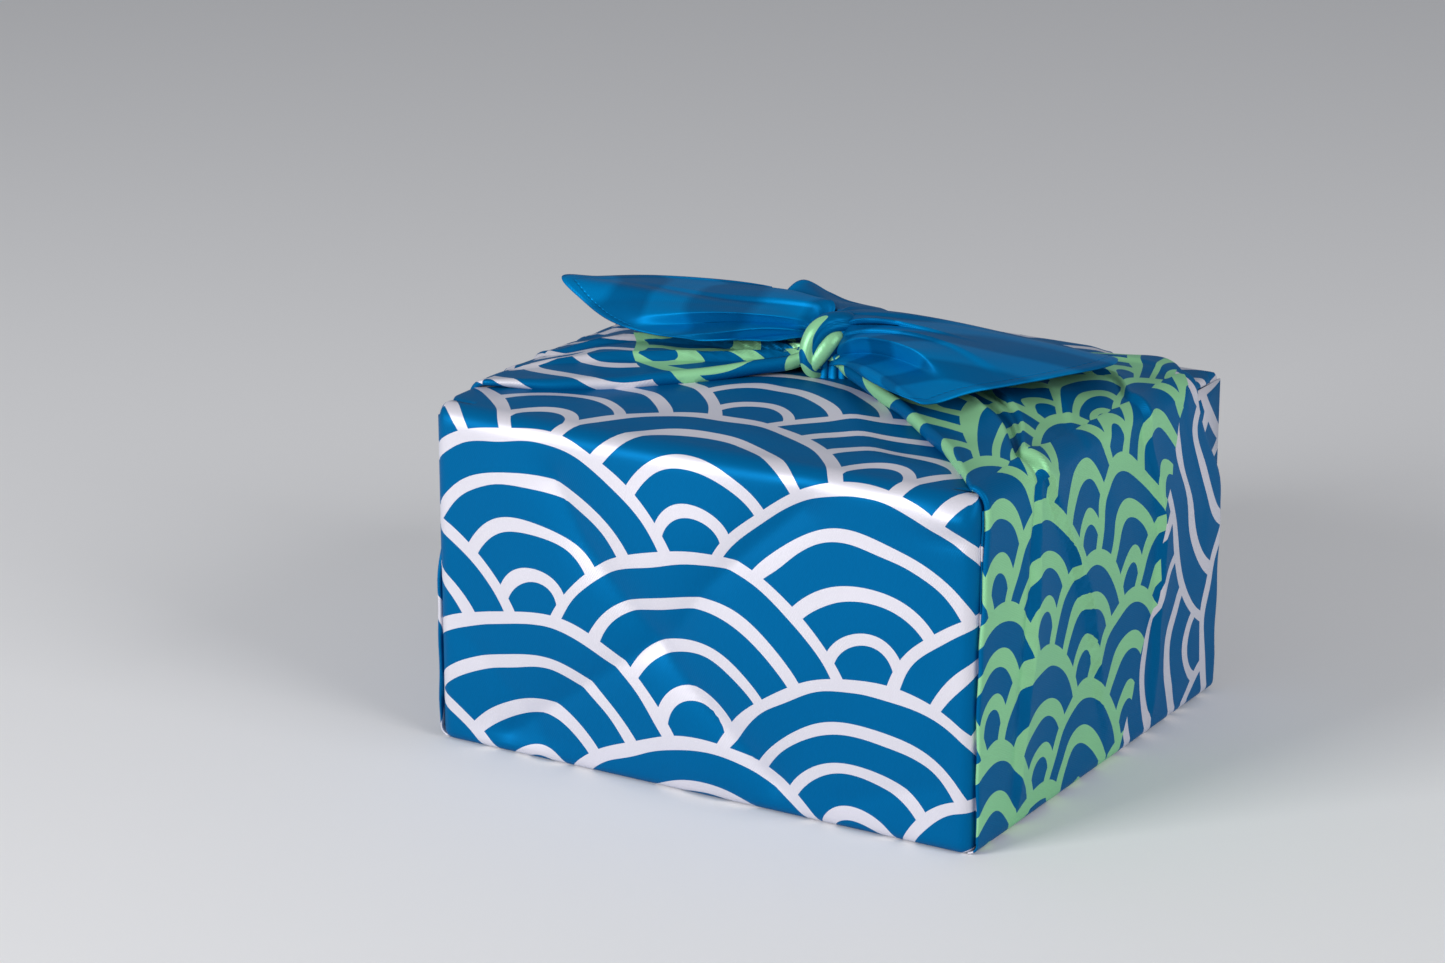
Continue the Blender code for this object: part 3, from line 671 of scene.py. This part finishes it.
def neck_patch():
    """The neck of the gathered cloth in front: a wall bowed in the plan, in upright pleats as |sin|, that
    spreads downwards onto the top."""
    down = np.linspace(0, 1, 16)[:, None]
    aside = np.linspace(-1, 1, 90)[None, :]
    pleat = np.abs(np.sin(aside * 9.5 + 1.4 * aside**2 + 0.4)) ** 0.7
    along = 2.5 + 11.0 * aside * (0.86 + 0.14 * down) + 0.5 * pleat * down
    front = 3.5 + 5.0 * np.sqrt(1.02 - aside**2) + 2.6 * down**2 + 1.3 * pleat
    points = knot_place(along, front, 13.5 - 12.8 * down + 0 * aside)
    flat = np.stack([0.395 - 0.012 * down + 0 * aside, 0.040 * aside + 0 * down], -1)
    return points[:, ::-1], flat[:, ::-1], False


# Routes through the knot, in its own places: the collar that goes round it, and the tongue of cloth
# inside the collar. Each bundle then has its half widths and half thicknesses in mm, its folds, and the
# part of the print that it shows.
COLLAR = (
    (9, -4, 20), (5.5, 1.5, 24.2), (-1.5, 5, 24.6), (-6.0, 7, 22.0),
    (-8.6, 8, 17.2), (-9.3, 8.5, 12.3), (-8.0, 8.5, 7.8), (-3, 6, 4.5))
TONGUE = (
    (4, 3, 19), (1.5, 7.0, 19.5), (-0.7, 9, 18.2),
    (-3.6, 9.8, 15.2), (-6.4, 9.6, 11.6), (-8.2, 8.8, 8.2))
knot = sew("knot", [
    core_patch(), neck_patch(),
    bundle_patch(
        COLLAR, (4, 4.6, 4.9, 4.6, 4.2, 3.8, 3.2, 2), (3.2, 3.6, 3.6, 3.6, 3.6, 3.4, 3.0, 2.0),
        3, 0.20, 0.9, (0.345, 0.357), (-0.024, -0.024, -0.025, -0.032, -0.050), 0.0115),
    bundle_patch(
        TONGUE, (3.0, 3.8, 4.2, 4.2, 3.8, 2.6), (2.4, 2.6, 2.8, 2.8, 2.6, 1.8),
        3, 0.22, 1.2, (0.340, 0.352), (-0.033, -0.033), 0.007),
], 0.0, 0.0)


# ---------------------------------------------------------------------------------------------------
# The two free corners. Each leaves the knot as a folded bundle and opens into one leaf, hemmed along its
# two cut edges, lying over the side flap with its tip in the air.

# The rim of a leaf. Columns: direction in the plan in degrees, reach from the root in mm, height of the
# rim and of the cloth halfway in mm above the top, and where the rim lies on the flat cloth in mm from
# the corner: inwards from it, and across.
RIGHT_TAIL = (
    (168, 38, 15, 17, 100, -20), (152, 43, 24, 23, 106, 0), (140, 43, 30, 27, 108, 18),
    (126, 41, 25, 26, 110, 26), (112, 40, 21, 24, 112, 32), (82, 52, 14, 22, 108, 48),
    (56, 72, 11, 21, 102, 66), (38, 92, 10, 20, 92, 76), (24, 103, 13, 21, 66, 66),
    (4, 88, 15, 22, 42, 42), (-18, 74, 14, 21.5, 16, 16), (-33, 71, 11.5, 16.5, 0, 0),
    (-38, 64, 12, 15.5, 9, -9), (-44, 34, 12, 12.5, 62, -62))
# The root of each spoke: its direction, and its place x, y and height, in mm.
RIGHT_ROOT = (
    (-44, -0.5, -7.5, 8), (-33, 1.0, -8.5, 10.5), (-22, 4.5, -8.5, 14), (-14, 5, -7, 18.5),
    (0, 5.5, -4.5, 22), (12, 5.5, -2.5, 24.5), (24, 4, 0, 26), (60, 2, 3, 27), (140, -1, 4, 27),
    (168, -3, 3, 20))
LEFT_TAIL = (
    (216, 30, 17, 17, 82, -82), (207, 48, 15, 17, 60, -60), (195, 78, 16, 19, 31, -31),
    (189, 95, 21, 22, 14, -14), (185, 108, 28, 24.5, 0, 0), (179, 98, 27, 25, 13, 13),
    (169, 86, 26, 27, 30, 30), (160, 62, 27, 28, 50, 50), (148, 36, 28, 29, 72, 70))
LEFT_ROOT = (
    (148, -4, 5, 30), (160, -5, 4, 30), (175, -7, 2, 29), (189, -9, -1, 24), (200, -10, -4, 20),
    (216, -9, -6, 18))
# Folds of a leaf. Columns: direction in degrees, negative where the steep side faces the greater angles;
# height and overhang in mm; widths of the steep and the easy side in degrees; where on the way out the
# fold is highest, and how far out it fades.
RIGHT_TAIL_FOLDS = (
    (-23, 6.2, 4.0, 4, 16, 0.42, 0.66), (-7, 1.8, 1.0, 3, 20, 0.32, 0.80),
    (10, 3.0, 1.6, 3, 14, 0.14, 0.40), (40, 1.6, 0.0, 9, 22, 0.35, 1.0), (96, 2.0, 0.0, 8, 20, 0.4, 1.0))
LEFT_TAIL_FOLDS = (
    (-207, 3.6, 2.6, 3.5, 8, 0.45, 0.85), (-195, 3.8, 2.8, 3, 12, 0.38, 0.80),
    (-178, 1.2, 0.5, 4, 12, 0.3, 0.75))
TAIL_ROWS, TAIL_COLUMNS = 40, 220
# The place in the plan, in mm, from which each leaf's directions are taken, and how far from the middle
# of the flat cloth its root lies.
HUB = {1: (4.1, -3.3), -1: (-7.0, -2.8)}
ROOT_REACH = REACH - 0.122


def tail_patch(side, table, roots, folds):
    """A leaf as a fan from the knot's side. Straight in the plan, each spoke rises as a parabola through
    its middle height. Each fold is a smooth step across the spokes that swells near the root and fades
    outwards, and its two sides move over each other as run * exp(-run squared)."""
    fan = through(table, TAIL_COLUMNS)
    angle = fan[:, 0]
    out = np.linspace(0.03, 1, TAIL_ROWS)[:, None]
    roots = np.array(roots)[np.argsort([row[0] for row in roots])]
    root_x, root_y, root_z = (np.interp(angle, roots[:, 0], roots[:, k]) for k in (1, 2, 3))
    rim_z, middle = fan[:, 2], fan[:, 3]
    hub_x, hub_y = HUB[side]
    x = root_x + out * (hub_x + fan[:, 1] * np.cos(np.radians(angle)) - root_x)
    y = root_y + out * (hub_y + fan[:, 1] * np.sin(np.radians(angle)) - root_y)
    control = 2 * middle - 0.5 * (root_z + rim_z)
    z = (1 - out) ** 2 * root_z + 2 * out * (1 - out) * control + out**2 * rim_z
    for direction, height, over, steep, easy, peak, fade in folds:
        sense = 1 if direction > -90 else -1
        run = sense * (angle - (direction if sense > 0 else -direction))
        swell = (out / peak) * np.exp(1 - out / peak) * smooth((fade + 0.25 - out) / 0.3)
        z = z + height * swell * smooth(run / steep + 0.5) * np.exp(-np.clip(run, 0, None) / easy)
        slide = sense * over * swell * (run / steep) * np.exp(0.5 - 0.5 * (run / steep) ** 2)
        x, y = x + slide * np.sin(np.radians(angle)), y - slide * np.cos(np.radians(angle))
    z = z + 0.5 * np.sin(np.radians(angle) * 9 + out * 5) * np.sin(np.pi * out) * smooth(out / 0.4)
    hem = smooth((out - 0.955) / 0.02) * 0.35
    points = np.stack([x, y, z + hem], -1) * 0.001 + (0, 0, HIGH)
    start = np.array((ROOT_REACH, 0.0))
    rim_flat = np.column_stack([REACH - fan[:, 4] * 0.001, fan[:, 5] * 0.001])
    flat = start + out[..., None] * (rim_flat - start)
    # The root turns into the knot in a round lip.
    lip_round = 0.003
    ahead = points[1] - points[0]
    ahead = ahead / np.linalg.norm(ahead, axis=1)[:, None]
    inwards = KNOT_MIDDLE - points[0]
    inwards = inwards - ahead * np.sum(inwards * ahead, axis=1)[:, None]
    inwards = inwards / np.linalg.norm(inwards, axis=1)[:, None]
    lip = [points[0] - lip_round * np.sin(a) * ahead + lip_round * (1 - np.cos(a)) * inwards
           for a in np.radians((105, 80, 55, 30))]
    points = np.concatenate([[lip[0] + lip_round * inwards], lip, points])
    flat = np.concatenate([np.repeat(flat[:1], len(lip) + 1, axis=0), flat])
    return points, flat * (side, 1), False


right_tail = sew("right_tail", [tail_patch(1, RIGHT_TAIL, RIGHT_ROOT, RIGHT_TAIL_FOLDS)], 0.0006, 0.0)
left_tail = sew("left_tail", [tail_patch(-1, LEFT_TAIL, LEFT_ROOT, LEFT_TAIL_FOLDS)], 0.0006, 0.0)


# ---------------------------------------------------------------------------------------------------
# The studio: a plain pale floor, a broad key light low on the left in front, a weak fill from the right,
# and a pale surround.

floor_mesh = bpy.data.meshes.new("floor")
floor_mesh.from_pydata([(-6, -6, 0), (6, -6, 0), (6, 6, 0), (-6, 6, 0)], [], [(0, 1, 2, 3)])
floor = bpy.data.objects.new("floor", floor_mesh)
bpy.context.collection.objects.link(floor)
paper = new_finish("pale paper", Base_Color=(0.85, 0.85, 0.86, 1), Roughness=0.9)[0]
floor_mesh.materials.append(paper)

surround = bpy.data.worlds.new("surround")
surround.use_nodes = True
glow = surround.node_tree.nodes["Background"].inputs
glow["Color"].default_value = (0.93, 0.95, 1.0, 1)
glow["Strength"].default_value = 0.30
bpy.context.scene.world = surround
bpy.context.scene.view_settings.view_transform = "Standard"


def softbox(name, place, aim, size, power):
    """A square area light that faces its aim."""
    lamp = bpy.data.lights.new(name, "AREA")
    lamp.shape, lamp.size, lamp.energy = "SQUARE", size, power
    made = bpy.data.objects.new(name, lamp)
    made.location = place
    made.rotation_euler = (Vector(aim) - Vector(place)).to_track_quat("-Z", "Y").to_euler()
    bpy.context.collection.objects.link(made)


softbox("key", (-0.85, -1.9, 0.80), (0, 0, 0.06), 0.9, 36)
softbox("fill", (1.9, -0.35, 1.15), (0, 0, 0.06), 1.1, 20)


# ---------------------------------------------------------------------------------------------------
# The camera stands in front to the right and looks down by 17 degrees. Its place comes from the box's
# six corners in the picture, whose frame is 1445 wide with a focal length of 4000 in the same units.

yaw, pitch = np.radians(-31.213), np.radians(17.365)
ahead = Vector((np.sin(yaw) * np.cos(pitch), np.cos(yaw) * np.cos(pitch), -np.sin(pitch)))
right = Vector((np.cos(yaw), -np.sin(yaw), 0))
upward = right.cross(ahead)
lens = bpy.data.cameras.new("camera")
sensor, focal, frame_wide = 36.0, 4000, 1445
lens.sensor_width, lens.lens = sensor, focal / frame_wide * sensor
camera = bpy.data.objects.new("camera", lens)
turn = Matrix((right, upward, -ahead)).transposed().to_4x4()
camera.matrix_world = Matrix.Translation((0.7129182, -1.2585160, 0.5452188)) @ turn
bpy.context.collection.objects.link(camera)
bpy.context.scene.camera = camera
